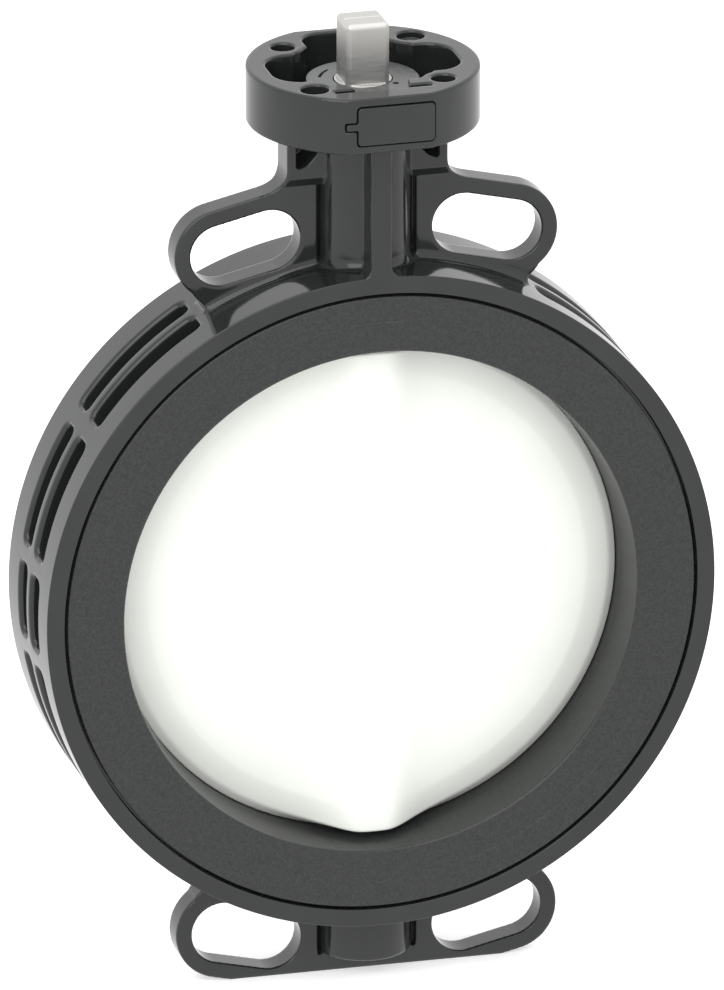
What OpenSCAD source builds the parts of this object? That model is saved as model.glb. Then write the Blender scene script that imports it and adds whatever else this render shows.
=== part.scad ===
// Wafer butterfly valve, DN 200 (8 in), with a lined plastic body and a bare square stem.
// The bore runs along Y, front face towards -Y. The stem runs along +Z through the origin.

/* [Body ring] */
// Outer radius of the body ring
ring_r = 131; // [129:0.5:134]
// Distance from the stem axis to the front gasket face
front_depth = 28.5; // [26:0.5:32]
// Distance from the stem axis to the rear gasket face
rear_depth = 31.5; // [28:0.5:34]
// Radius of the hole in the body ring that the seat cartridge fits
ring_inner_r = 112; // [111:0.5:114]
// Small bevel on the ring's outer corners
edge_break = 0.5; // [0.2:0.1:1]
// Width of each weight-saving pocket along the bore axis
pocket_w = 14; // [11:0.5:15]
// Width of the rib between the two rows of pockets
pocket_rib = 3; // [2.5:0.5:5]
// Distance from the bore axis to a pocket's floor
pocket_floor = 116.5; // [115:0.5:120]
// Corner radius of a pocket
pocket_corner = 4; // [2:0.5:5]

/* [Seat liner] */
// Bore radius of the liner at both faces
bore_r = 100.6; // [100:0.1:102]
// Bore radius of the liner where the disc closes
seat_r = 99.25; // [99.2:0.05:99.6]
// Outer radius of the liner's tube
liner_tube_r = 108; // [106:0.5:109]
// Outer radius of the liner's face flanges
liner_face_r = 122.9; // [121:0.1:124]
// Thickness of the liner's face flanges
liner_face_t = 5.5; // [4:0.5:7]
// Inner radius of the raised sealing land on each liner face
land_r = 113; // [110:0.5:117]
// Gap between the liner's face flange and the body
groove_w = 1.2; // [0.6:0.1:2]

/* [Disc] */
// Radius of the disc's sealing edge
disc_r = 98.9; // [97.5:0.1:98.9]
// Radius at which the disc's rim bevel starts
disc_flat_r = 95.6; // [94:0.1:96.5]
// Half thickness of the disc at the start of its rim bevel
disc_rim_t = 5.6; // [4:0.1:7]
// Half width of the disc's sealing edge
disc_edge_t = 2.3; // [1:0.1:3]
// Half thickness of the disc's lens at the middle
disc_mid_t = 15; // [12:0.5:17]
// Radius of the hub that holds the stem
hub_r = 18; // [16:0.5:19]
// Distance from the bore axis to the hub's end faces
hub_end = 97.2; // [96:0.1:97.3]

/* [Stem] */
// Radius of the stem's round part
stem_r = 11; // [10:0.5:11]
// Width across the flats of the square drive
square_w = 17; // [17:1:17]
// Bevel on the square drive's long edges
square_bevel = 1.5; // [0.5:0.1:2]
// Height at which the square drive starts
square_z = 201.4; // [200:0.2:204]
// Height of the stem's top
stem_top = 225.4; // [222:0.2:230]
// Height of the stem's bottom end
stem_bottom = -143; // [-143:0.5:-141]
// Running clearance between the stem and its bushes, on the radius
stem_play = 0.05; // [0.02:0.01:0.08]

/* [Actuator flange] */
// Radius of the flange
flange_r = 44.4; // [43:0.1:47]
// Distance from the stem axis to the flange's front and back flats
flange_flat = 41.5; // [40:0.5:43]
// Height of the flange's top face
flange_top = 207.4; // [206:0.2:209]
// Thickness of the flange
flange_t = 22; // [20:0.5:24]
// Pitch circle of the four actuator bolts
actuator_pcd = 70; // [70:1:70]
// Radius of the actuator bolt holes
actuator_hole_r = 4.5; // [4.5:0.1:4.5]

/* [Neck and lugs] */
// Radius of the stem column
column_r = 18.4; // [17.5:0.1:20]
// Half width of the neck plate under the flange
neck_half_w = 31.4; // [30:0.1:34]
// Thickness of the neck plate under the flange
neck_t = 15.5; // [14:0.5:18]
// Thickness of the bolt lugs
lug_t = 12; // [10:0.5:13]
// Pitch circle for flanges with eight bolts, 22.5 degrees off the vertical
pcd_eight = 296.5; // [295:0.5:298.5]
// Pitch circle for flanges with twelve bolts, 15 degrees off the vertical
pcd_twelve = 292.6; // [290:0.2:295]
// Half width of the slot for the line bolts
slot_r = 12; // [11:0.5:12]
// Wall of the lug round its slot
lug_wall = 6.2; // [5:0.1:8]
// Radius of the fillet between a lug and the neck
lug_fillet_r = 10; // [6:0.5:11]
// Half width of the front and rear ribs on the neck
rib_half_w = 4.2; // [3.5:0.1:5]
// Height of the foot below the bore axis
foot_z = 156.3; // [155:0.1:157]
// Depth of the lower bearing boss below the bore axis
boss_z = 149.4; // [149:0.1:152]

/* [Hidden] */
$fn = 96;

// Clearance between parts that are pushed together, and overlap that makes a cut clean
fit = 0.05;
past = 1;

// Angles of the pockets from the top of the ring, as start and end
pockets = [[30, 55.6], [57.9, 80.9], [82.9, 97.1], [99.1, 122.1], [124.4, 150]];
ring_mid = (rear_depth - front_depth) / 2;
rebate = liner_face_t + 0.2;
rebate_r = liner_face_r + groove_w;

// Stack of parts along the stem, as heights
neck_bore_r = 14;
seal_bore_r = 12.8;
neck_bush_top = 137;
upper_bush_z = 155;
washer_z = 189;
clip_z = 191;
clip_t = 1.5;
wiper_z = 194;
plate_z = 198.8;
plate_t = 2.2;
cup_r = 15.6;
thrust_pad_t = 3;
thrust_gap = 0.3;
o_ring_r = 1.4;
o_ring_mid_r = stem_r;
stem_seals = [142, 150];
lower_seal = -139.5;
disc_seal_z = 86;

// Distance from the hub's end faces to where the disc's rim is cut off beside them
rim_trim = 0.4;

// Section of the stem that drives the disc, flat on two sides
drive_half_len = 45;
drive_flat = 9;

// Groove across the stem's top, in line with the disc
mark_w = 0.6;
mark_depth = 0.5;

// Flange recess
flange_z = flange_top - flange_t;
recess_floor = flange_z + 3;
lobe_half_w = 15.6;
lobe_reach = 36.4;
back_lobe_reach = 37;
lobe_corner = 11;
back_lobe_corner = 8;
front_lobe_half_w = 11.5;
front_lobe_reach = 32.5;
front_lobe_corner = 8;
bolt_boss_r = 8.1;
bolt_xy = actuator_pcd / 2 * cos(45);
wide_hole_r = 5.2;
wide_hole_depth = 3;
wide_xy = bolt_xy + 0.7;
clip_slot = [9.5, 3, 12];
clip_slot_x = 14;
clip_slot_y = -30.3;

// Tag plate on the flange's front flat
tag_size = [30.6, 15.8];
tag_mid = [2.2, 196.2];
tag_corner = 1.6;
tag_tongue = [4.4, 3.4];
tag_depth = 2.2;
tag_gap = 0.4;

// Lug geometry in the plane across the bore, x to the right and y up
lug_r = slot_r + lug_wall;
lug_out = pcd_eight / 2 * [sin(22.5), cos(22.5)];
lug_in = pcd_twelve / 2 * [sin(15), cos(15)];
lug_dir = (lug_out - lug_in) / norm(lug_out - lug_in);
lug_up = [-lug_dir[1], lug_dir[0]];
fillet_x = neck_half_w + lug_fillet_r;
fillet_y = lug_in[1] + (lug_r + lug_fillet_r - (fillet_x - lug_in[0]) * lug_up[0]) / lug_up[1];
fillet_c = [fillet_x, fillet_y];
step_low = 162;
step_high = 165.8;
relief = [2.6, 3.6];
relief_x = column_r - 0.5;
rib_fillet_r = 4;

// Wall left behind the two pockets in the neck's front
pocket_web = 2;

// ---- Helpers ----

// Turns a section of radius and depth round the bore axis
module round_bore() {
    rotate([-90, 0, 0]) rotate_extrude($fn = 180) children();
}

// Makes an upright plate, centred on the stem axis, from an outline across the bore
module upright(thickness, y_mid = 0) {
    translate([0, y_mid, 0])
        rotate([90, 0, 0])
            linear_extrude(thickness, center = true) children();
}

module both_sides() {
    children();
    mirror([1, 0, 0]) children();
}

// Tube along the stem axis
module tube(z, height, outer_r, inner_r) {
    difference() {
        translate([0, 0, z]) cylinder(h = height, r = outer_r);
        translate([0, 0, z - past]) cylinder(h = height + 2 * past, r = inner_r);
    }
}

// Ring of round section along the stem axis
module o_ring(z, mid_r, section_r) {
    translate([0, 0, z]) rotate_extrude() translate([mid_r, 0]) circle(r = section_r, $fn = 32);
}

// Rectangle with round corners, centred on the origin
module soft_rectangle(width, height, corner) {
    square([width - 2 * corner, height], center = true);
    square([width, height - 2 * corner], center = true);
    for (x = [-1, 1], y = [-1, 1])
        translate([x * (width / 2 - corner), y * (height / 2 - corner)]) circle(r = corner);
}

// Long round-ended outline between two points
module capsule(a, b, r) {
    side = [-(b - a)[1], (b - a)[0]] / norm(b - a) * r;
    translate(a) circle(r = r);
    translate(b) circle(r = r);
    polygon([a + side, b + side, b - side, a - side]);
}

// ---- Body ring ----

module ring_section() {
    polygon([
        [ring_inner_r, rebate - front_depth],
        [rebate_r, rebate - front_depth],
        [rebate_r, -front_depth],
        [ring_r - edge_break, -front_depth],
        [ring_r, edge_break - front_depth],
        [ring_r, rear_depth - edge_break],
        [ring_r - edge_break, rear_depth],
        [rebate_r, rear_depth],
        [rebate_r, rear_depth - rebate],
        [ring_inner_r, rear_depth - rebate]
    ]);
}

// One pocket cut square to the ring at its middle
module side_pocket(span, y_mid) {
    chord = 2 * ring_r * sin((span[1] - span[0]) / 2);
    rotate([0, (span[0] + span[1]) / 2, 0])
        translate([0, y_mid, pocket_floor])
            linear_extrude(2 * (ring_r - pocket_floor))
                soft_rectangle(chord, pocket_w, pocket_corner);
}

module body_ring() {
    row = (pocket_w + pocket_rib) / 2;
    color("#3f4140")
        difference() {
            round_bore() ring_section();
            for (span = pockets, y = [ring_mid - row, ring_mid + row])
                both_sides() side_pocket(span, y);
            translate([0, 0, -ring_r - past])
                cylinder(h = 2 * (ring_r + past), r = neck_bore_r + fit);
        }
}

// ---- Neck and foot ----

// Outline of one lug and its foot on the ring, right-hand side
module lug_outline() {
    capsule(lug_in, lug_out, lug_r);
    polygon([
        lug_out + lug_r * [cos(60), -sin(60)],
        (ring_r - 1) * [sin(28.3), cos(28.3)],
        (ring_r - 8) * [sin(12), cos(12)],
        lug_in,
        lug_out
    ]);
}

// Fillet between the lug's top edge and the neck
module lug_fillet() {
    difference() {
        polygon([
            [0, fillet_c[1]],
            [neck_half_w, fillet_c[1]],
            fillet_c,
            fillet_c - lug_fillet_r * lug_up,
            lug_in
        ]);
        translate(fillet_c) circle(r = lug_fillet_r);
    }
}

module mirrored_outline() {
    children();
    mirror([1, 0]) children();
}

// Pocket under the flange, straight outside and slanted inside, open to the front
module neck_pocket() {
    polygon([[27.8, 184], [27.8, 172], [25.5, 172], [23.8, 170.7], [19.6, 175.5], [19.6, 184]]);
    translate([25.4, 172]) circle(r = 2.4);
}

module neck_plate() {
    upright(lug_t) {
        difference() {
            mirrored_outline() {
                lug_outline();
                lug_fillet();
            }
            mirrored_outline() capsule(lug_in, lug_out, slot_r);
        }
        difference() {
            translate([-neck_half_w, 100]) square([2 * neck_half_w, step_high - 100]);
            mirrored_outline() capsule(lug_in, lug_out, slot_r);
        }
    }
    rotate([90, 0, 90])
        linear_extrude(2 * neck_half_w, center = true)
            polygon([
                [-neck_t / 2, flange_z], [-neck_t / 2, step_high], [-lug_t / 2, step_low],
                [lug_t / 2, step_low], [neck_t / 2, step_high], [neck_t / 2, flange_z]
            ]);
}

// Upright reliefs where the lug plate meets the stem column
module column_reliefs(z, height) {
    for (x = [-1, 1], y = [-1, 1])
        translate([x * relief_x, y * lug_t / 2, z + height / 2])
            cube([relief[0], 2 * relief[1], height], center = true);
}

// Rib from the ring's face up to the flange, with fillets on the ring
module neck_rib_outline() {
    base = sqrt(pow(ring_r + rib_fillet_r, 2) - pow(rib_half_w + rib_fillet_r, 2));
    translate([-rib_half_w, 100]) square([2 * rib_half_w, flange_z - 100]);
    difference() {
        translate([-rib_half_w - rib_fillet_r, 100])
            square([2 * (rib_half_w + rib_fillet_r), base - 100]);
        mirrored_outline()
            translate([rib_half_w + rib_fillet_r, base]) circle(r = rib_fillet_r);
    }
}

module neck_ribs() {
    front_len = front_depth - column_r + 8;
    rear_len = rear_depth - column_r + 8;
    upright(front_len, -front_depth + front_len / 2) neck_rib_outline();
    upright(rear_len, rear_depth - rear_len / 2) neck_rib_outline();
}

module ring_space() {
    rotate([90, 0, 0]) cylinder(h = 200, r = ring_r, center = true, $fn = 180);
}

module neck_frame() {
    color("#3f4140")
        difference() {
            union() {
                difference() {
                    neck_plate();
                    column_reliefs(ring_r - 10, step_low - ring_r + 10);
                }
                translate([0, 0, 100]) cylinder(h = flange_z - 100, r = column_r);
                neck_ribs();
            }
            upright(neck_t + past - pocket_web, -(past + pocket_web) / 2)
                mirrored_outline() neck_pocket();
            ring_space();
            translate([0, 0, 100]) cylinder(h = neck_bush_top - 100 + fit, r = neck_bore_r + fit);
            translate([0, 0, 100]) cylinder(h = 100, r = seal_bore_r);
            translate([0, 0, upper_bush_z - fit]) cylinder(h = 100, r = neck_bore_r + fit);
        }
}

module foot_outline() {
    difference() {
        union() {
            mirrored_outline() lug_outline();
            translate([-52, 100]) square([104, foot_z - 100]);
        }
        mirrored_outline() capsule(lug_in, lug_out, slot_r);
        translate([-100, foot_z]) square([200, 50]);
    }
}

module foot_frame() {
    pad_seat = stem_bottom - thrust_gap - thrust_pad_t;
    color("#3f4140")
        difference() {
            union() {
                difference() {
                    upright(lug_t) mirror([0, 1]) foot_outline();
                    column_reliefs(-boss_z, boss_z - ring_r + 10);
                }
                translate([0, 0, -boss_z]) cylinder(h = boss_z - 100, r = column_r);
            }
            ring_space();
            translate([0, 0, -neck_bush_top - fit])
                cylinder(h = neck_bush_top - 100, r = neck_bore_r + fit);
            translate([0, 0, pad_seat]) cylinder(h = -100 - pad_seat, r = seal_bore_r);
        }
}

// ---- Actuator flange ----

module flange_outline() {
    intersection() {
        circle(r = flange_r, $fn = 180);
        square([2 * flange_r + past, 2 * flange_flat], center = true);
    }
}

// Four-lobed opening with a material boss left round each bolt hole
module recess_outline() {
    difference() {
        union() {
            soft_rectangle(2 * lobe_reach, 2 * lobe_half_w, lobe_corner);
            translate([0, back_lobe_reach / 2])
                soft_rectangle(2 * lobe_half_w, back_lobe_reach, back_lobe_corner);
            translate([0, -front_lobe_reach / 2])
                soft_rectangle(2 * front_lobe_half_w, front_lobe_reach, front_lobe_corner);
            square([46, 44.6], center = true);
            circle(r = 28);
        }
        for (x = [-1, 1], y = [-1, 1])
            translate([x * bolt_xy, y * bolt_xy]) circle(r = bolt_boss_r);
        translate([-30, -45]) square([30 - front_lobe_half_w, 22.6]);
        translate([front_lobe_half_w, -45]) square([30 - front_lobe_half_w, 22.6]);
    }
}

module tag_outline(gap) {
    translate(tag_mid) soft_rectangle(tag_size[0] - 2 * gap, tag_size[1] - 2 * gap, tag_corner);
    translate([tag_mid[0] - (tag_size[0] + tag_tongue[0]) / 2 + 1, tag_mid[1]])
        soft_rectangle(tag_tongue[0] - 2 * gap + 2, tag_tongue[1] - 2 * gap, 0.8);
}

module flange_blank() {
    translate([0, 0, flange_z]) linear_extrude(flange_t) flange_outline();
}

module actuator_flange() {
    color("#3f4140")
        difference() {
            union() {
                difference() {
                    flange_blank();
                    translate([0, 0, recess_floor]) linear_extrude(flange_t) recess_outline();
                }
                translate([0, 0, recess_floor - past])
                    cylinder(h = plate_z - recess_floor + past, r = column_r);
            }
            for (x = [-1, 1], y = [-1, 1])
                translate([x * bolt_xy, y * bolt_xy, flange_z - past])
                    cylinder(h = flange_t + 2 * past, r = actuator_hole_r);
            for (s = [-1, 1])
                translate([s * wide_xy, s * wide_xy, flange_top - wide_hole_depth])
                    cylinder(h = wide_hole_depth + past, r = wide_hole_r);
            for (s = [-1, 1])
                translate([s * clip_slot_x, clip_slot_y, flange_top])
                    cube([clip_slot[0], clip_slot[1], 2 * clip_slot[2]], center = true);
            translate([0, -flange_flat + tag_depth / 2, 0])
                rotate([90, 0, 0])
                    linear_extrude(tag_depth, center = true) tag_outline(0);
            translate([0, 0, flange_z - past]) cylinder(h = flange_t, r = neck_bore_r + fit);
            translate([0, 0, washer_z - fit]) cylinder(h = flange_t, r = cup_r);
        }
}

module tag_plate() {
    color("#424443")
        intersection() {
            flange_blank();
            translate([0, -flange_flat + (tag_depth - fit) / 2, 0])
                rotate([90, 0, 0])
                    linear_extrude(tag_depth - fit, center = true) tag_outline(tag_gap);
        }
}

// ---- Seat ----

module liner_section() {
    land_low = 0.3;
    lip = 0.9;
    polygon([
        [seat_r, -8],
        [seat_r, 8],
        [bore_r, rear_depth - land_low - lip],
        [bore_r + lip, rear_depth - land_low],
        [land_r - 2 * land_low, rear_depth - land_low],
        [land_r, rear_depth],
        [liner_face_r, rear_depth],
        [liner_face_r, rear_depth - liner_face_t],
        [liner_tube_r, rear_depth - liner_face_t],
        [liner_tube_r, liner_face_t - front_depth],
        [liner_face_r, liner_face_t - front_depth],
        [liner_face_r, -front_depth],
        [land_r, -front_depth],
        [land_r - 2 * land_low, land_low - front_depth],
        [bore_r + lip, land_low - front_depth],
        [bore_r, land_low + lip - front_depth]
    ]);
}

module seat_liner() {
    hub_seat = hub_end + thrust_gap;
    color("#3c3e3d")
        difference() {
            union() {
                round_bore() liner_section();
                for (side = [0, 180])
                    rotate([side, 0, 0])
                        translate([0, 0, hub_seat]) cylinder(h = 6, r = hub_r + 2);
            }
            translate([0, 0, -liner_tube_r - past])
                cylinder(h = 2 * (liner_tube_r + past), r = stem_r + 0.35);
        }
}

module liner_backing_ring() {
    wall = [liner_tube_r + fit, ring_inner_r - fit];
    front = liner_face_t + fit - front_depth;
    rear = rear_depth - liner_face_t - fit;
    color("#6d6a62")
        difference() {
            round_bore()
                polygon([[wall[0], front], [wall[1], front], [wall[1], rear], [wall[0], rear]]);
            translate([0, 0, -ring_inner_r - past])
                cylinder(h = 2 * (ring_inner_r + past), r = stem_r + 0.6);
        }
}

// ---- Disc and stem ----

module disc_rim_section() {
    polygon([
        [0, -disc_rim_t], [disc_flat_r, -disc_rim_t], [disc_r, -disc_edge_t],
        [disc_r, disc_edge_t], [disc_flat_r, disc_rim_t], [0, disc_rim_t]
    ]);
}

// Two shallow domes whose edges meet the rim's bevel
module disc_lens() {
    rise = disc_mid_t - disc_rim_t;
    dome_r = (pow(disc_flat_r, 2) + pow(rise, 2)) / (2 * rise);
    intersection() {
        rotate([90, 0, 0]) cylinder(h = 2 * disc_mid_t, r = disc_flat_r, center = true);
        translate([0, dome_r - disc_mid_t, 0]) sphere(r = dome_r, $fn = 240);
        translate([0, disc_mid_t - dome_r, 0]) sphere(r = dome_r, $fn = 240);
    }
}

module drive_shape(r, flat) {
    intersection() {
        circle(r = r);
        square([3 * r, 2 * flat], center = true);
    }
}

module disc() {
    color("#f4f5f0")
        difference() {
            union() {
                intersection() {
                    round_bore() disc_rim_section();
                    cube([3 * disc_r, disc_r, 2 * (hub_end - rim_trim)], center = true);
                }
                disc_lens();
                translate([0, 0, -hub_end]) cylinder(h = 2 * hub_end, r = hub_r);
            }
            for (side = [0, 180])
                rotate([side, 0, 0]) {
                    translate([0, 0, drive_half_len + fit]) cylinder(h = 100, r = stem_r + fit);
                    translate([0, 0, disc_seal_z - o_ring_r])
                        cylinder(h = 2 * o_ring_r, r = stem_r + 1.7 * o_ring_r);
                }
            linear_extrude(2 * drive_half_len + 1, center = true)
                drive_shape(stem_r + fit, drive_flat + fit);
        }
}

module seal_groove(z) {
    tube(z - o_ring_r - 0.1, 2 * o_ring_r + 0.2, stem_r + past, o_ring_mid_r - o_ring_r - fit);
}

module square_drive() {
    half = square_w / 2;
    inner = half - square_bevel;
    difference() {
        translate([0, 0, square_z - past])
            linear_extrude(stem_top - square_z + past)
                polygon([
                    [half, -inner], [half, inner], [inner, half], [-inner, half],
                    [-half, inner], [-half, -inner], [-inner, -half], [inner, -half]
                ]);
        translate([0, 0, stem_top]) cube([square_w, mark_w, 2 * mark_depth], center = true);
        for (turn = [0 : 90 : 270])
            rotate([0, 0, turn])
                translate([half, 0, stem_top - square_bevel])
                    rotate([0, -45, 0])
                        translate([0, -square_w, 0]) cube([square_w, 2 * square_w, square_w]);
    }
}

module stem() {
    color("#a9a9a6")
        union() {
            difference() {
                translate([0, 0, stem_bottom]) cylinder(h = square_z - stem_bottom, r = stem_r);
                for (side = [-1, 1])
                    translate([0, side * (drive_flat + stem_r), 0])
                        cube([3 * stem_r, 2 * stem_r, 2 * drive_half_len], center = true);
                for (z = stem_seals) seal_groove(z);
                seal_groove(lower_seal);
                tube(clip_z, clip_t, stem_r + past, stem_r - 0.8);
            }
            square_drive();
        }
}

module upper_disc_o_ring() {
    color("#202020") o_ring(disc_seal_z, stem_r + fit + o_ring_r * 0.8, o_ring_r * 0.8);
}

module lower_disc_o_ring() {
    color("#202020") o_ring(-disc_seal_z, stem_r + fit + o_ring_r * 0.8, o_ring_r * 0.8);
}

// ---- Stem bearings and seals ----

module neck_bush() {
    color("#d9d6c8") tube(ring_inner_r + 0.6, neck_bush_top - ring_inner_r - 0.6,
        neck_bore_r, stem_r + stem_play);
}

module upper_bush() {
    color("#d9d6c8") tube(upper_bush_z, washer_z - fit - upper_bush_z,
        neck_bore_r, stem_r + stem_play);
}

module lower_bush() {
    color("#d9d6c8") mirror([0, 0, 1])
        tube(ring_inner_r + 0.6, neck_bush_top - ring_inner_r - 0.6,
            neck_bore_r, stem_r + stem_play);
}

module lower_thrust_pad() {
    color("#d9d6c8")
        translate([0, 0, stem_bottom - thrust_gap - thrust_pad_t + fit])
            cylinder(h = thrust_pad_t - fit, r = seal_bore_r - fit);
}

module neck_stem_o_ring() {
    color("#202020") o_ring(stem_seals[0], o_ring_mid_r, o_ring_r);
}

module upper_stem_o_ring() {
    color("#202020") o_ring(stem_seals[1], o_ring_mid_r, o_ring_r);
}

module lower_stem_o_ring() {
    color("#202020") o_ring(lower_seal, o_ring_mid_r, o_ring_r);
}

module thrust_washer() {
    color("#d9d6c8") tube(washer_z, clip_z - 0.5 - washer_z, cup_r - fit, stem_r + 0.4);
}

// Spring ring in the stem's groove that keeps the stem from being blown out
module retaining_clip() {
    color("#8f9294")
        difference() {
            tube(clip_z + 0.05, clip_t - 0.1, cup_r - 0.7, stem_r - 0.75);
            translate([0, -5, clip_z - past]) cube([30, 10, clip_t + 2 * past]);
        }
}

module wiper_ring() {
    color("#202020") tube(wiper_z, plate_z - fit - wiper_z, cup_r - fit, stem_r + 0.4);
}

// Plate over the column, with a sighting hole and a curved slot
module retainer_plate() {
    outer_r = 21.4;
    hole_at = 13.6;
    color("#8b8c8a")
        difference() {
            tube(plate_z, plate_t, outer_r, stem_r + 0.4);
            rotate([0, 0, -39]) translate([hole_at, 0, plate_z - past])
                cylinder(h = plate_t + 2 * past, r = 1.3);
            translate([0, 0, plate_z - past])
                rotate_extrude(angle = 34, start = 128)
                    translate([hole_at + 2.2, 0]) square([1.2, plate_t + 2 * past]);
        }
}

body_ring();
neck_frame();
actuator_flange();
foot_frame();
tag_plate();
seat_liner();
liner_backing_ring();
disc();
stem();
upper_disc_o_ring();
lower_disc_o_ring();
neck_bush();
upper_bush();
lower_bush();
lower_thrust_pad();
neck_stem_o_ring();
upper_stem_o_ring();
lower_stem_o_ring();
thrust_washer();
retaining_clip();
wiper_ring();
retainer_plate();
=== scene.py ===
"""A DN 200 wafer butterfly valve: lined plastic body, white disc and a bare square stem.

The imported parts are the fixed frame. Each section makes one piece, or a group of like pieces, in the order
in which the valve goes together, and says which body of the frame it moves with.
"""

import math

import bmesh
import bpy
import numpy as np
from mathutils import Matrix, Vector


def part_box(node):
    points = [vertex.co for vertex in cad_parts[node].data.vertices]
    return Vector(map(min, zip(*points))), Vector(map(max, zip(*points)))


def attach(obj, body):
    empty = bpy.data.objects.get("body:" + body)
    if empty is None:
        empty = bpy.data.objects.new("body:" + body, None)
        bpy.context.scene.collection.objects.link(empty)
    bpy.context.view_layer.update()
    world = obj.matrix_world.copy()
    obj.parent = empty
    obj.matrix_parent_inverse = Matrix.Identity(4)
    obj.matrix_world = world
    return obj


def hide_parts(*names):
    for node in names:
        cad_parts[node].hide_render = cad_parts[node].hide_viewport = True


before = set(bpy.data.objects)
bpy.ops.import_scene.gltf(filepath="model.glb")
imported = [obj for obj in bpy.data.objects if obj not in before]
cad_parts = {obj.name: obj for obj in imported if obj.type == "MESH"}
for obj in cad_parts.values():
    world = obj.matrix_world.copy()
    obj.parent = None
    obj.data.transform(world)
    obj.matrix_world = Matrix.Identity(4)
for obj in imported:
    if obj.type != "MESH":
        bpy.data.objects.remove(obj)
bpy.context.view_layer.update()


# ---- Camera ----
# A long lens, as for a catalogue picture, so that the valve is seen almost without perspective. It stands a
# little to the left of the front and looks down on the valve.

mm = 0.001
view_azimuth = math.radians(-14.91)
view_elevation = math.radians(20.1)
view_height = 376.2 * mm
view_middle = (-0.3 * mm, 31.4 * mm)
film_mm = 36
lens_mm = 1000

right = Vector((math.cos(view_azimuth), math.sin(view_azimuth), 0))
back = Vector((math.sin(view_azimuth) * math.cos(view_elevation),
               -math.cos(view_azimuth) * math.cos(view_elevation),
               math.sin(view_elevation)))
up = back.cross(right)
distance = view_height * lens_mm / film_mm

camera_data = bpy.data.cameras.new("camera")
camera_data.sensor_width = film_mm
camera_data.lens = lens_mm
camera_data.clip_end = 3 * distance
camera = bpy.data.objects.new("camera", camera_data)
camera.matrix_world = (
    Matrix.Translation(back * distance + right * view_middle[0] + up * view_middle[1])
    @ Matrix((right, up, back)).transposed().to_4x4()
)
bpy.context.scene.collection.objects.link(camera)
bpy.context.scene.camera = camera
bpy.context.scene.view_settings.view_transform = "Standard"


# ---- Studio ----
# An even, bright room that the gloss of the black plastic reflects, two soft boxes and a fill for the disc,
# and a pale floor under the foot.


def linear(hex_colour):
    """An sRGB hex colour as linear red, green, blue and alpha."""
    parts = np.array([int(hex_colour[i:i + 2], 16) for i in (1, 3, 5)]) / 255
    parts = np.where(parts <= 0.04045, parts / 12.92, ((parts + 0.055) / 1.055) ** 2.4)
    return (*parts.tolist(), 1.0)


def add_node(tree, kind, sockets, **settings):
    """Adds one node. sockets maps an input's name or number to a value or to another node's output."""
    node = tree.nodes.new(kind)
    for name, value in settings.items():
        setattr(node, name, value)
    for name, value in sockets.items():
        if isinstance(value, bpy.types.NodeSocket):
            tree.links.new(value, node.inputs[name])
        else:
            node.inputs[name].default_value = value
    return node


world = bpy.data.worlds.new("pale_room")
bpy.context.scene.world = world
world.use_nodes = True
room = world.node_tree
room.nodes.clear()
# The room lights the valve a little more strongly than it shows behind it.
lit_strength, seen_strength = 1.2, 1.0
lit = add_node(room, "ShaderNodeBackground", {"Color": linear("#FFFFFF"), "Strength": lit_strength})
seen = add_node(room, "ShaderNodeBackground", {"Color": linear("#FFFFFF"), "Strength": seen_strength})
path = add_node(room, "ShaderNodeLightPath", {})
shown = add_node(room, "ShaderNodeMixShader",
                 {0: path.outputs["Is Camera Ray"], 1: lit.outputs[0], 2: seen.outputs[0]})
add_node(room, "ShaderNodeOutputWorld", {"Surface": shown.outputs[0]})


def soft_box(name, place, size, watts, is_fill=False):
    """A square soft box facing the middle of the valve. A fill casts no shadow and shows in no gloss."""
    data = bpy.data.lights.new(name, "AREA")
    data.size = size
    data.energy = watts
    data.use_shadow = not is_fill
    box = bpy.data.objects.new(name, data)
    box.visible_glossy = not is_fill
    box.location = place
    box.rotation_euler = (-Vector(place)).to_track_quat("-Z", "Y").to_euler()
    bpy.context.scene.collection.objects.link(box)


soft_box("overhead_box", (-0.3, -0.6, 1.7), 1.4, 9)
soft_box("front_box", (-1.0, -1.4, 1.1), 1.2, 8)
soft_box("high_left_fill", (-1.2, -1.0, 1.25), 0.6, 9, is_fill=True)

# The valve is neither lit by the floor nor mirrors it.
floor_size = 30.0
foot_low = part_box("foot_frame")[0].z
floor_mesh = bpy.data.meshes.new("floor")
corners = floor_size / 2 * np.array([[-1, -1], [1, -1], [1, 1], [-1, 1]])
floor_mesh.from_pydata([(x, y, foot_low) for x, y in corners], [], [(0, 1, 2, 3)])
floor = bpy.data.objects.new("floor", floor_mesh)
floor.visible_diffuse = False
floor.visible_glossy = False
bpy.context.scene.collection.objects.link(floor)
floor_paint = bpy.data.materials.new("pale_floor")
floor_paint.use_nodes = True
paint = floor_paint.node_tree.nodes["Principled BSDF"]
paint.inputs["Base Color"].default_value = linear("#F4F4F4")
paint.inputs["Roughness"].default_value = 0.9
paint.inputs["Emission Color"].default_value = linear("#FFFFFF")
paint.inputs["Emission Strength"].default_value = 0.35
floor_mesh.materials.append(floor_paint)


# ---- Body ring ----
# The big ring that sits between the pipe flanges. It is injection moulded in black glass-filled plastic,
# with two rows of pockets that save weight and keep the wall even. Their lips are well rounded.


def new_material(name, colour, roughness, ior=1.5, metallic=0.0):
    """A material with its shader's constant values set, and its tree, shader and coordinates."""
    material = bpy.data.materials.new(name)
    material.use_nodes = True
    tree = material.node_tree
    shader = tree.nodes["Principled BSDF"]
    shader.inputs["Base Color"].default_value = linear(colour)
    shader.inputs["Roughness"].default_value = roughness
    shader.inputs["IOR"].default_value = ior
    shader.inputs["Metallic"].default_value = metallic
    place = add_node(tree, "ShaderNodeTexCoord", {}).outputs["Object"]
    return material, tree, shader, place


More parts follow.
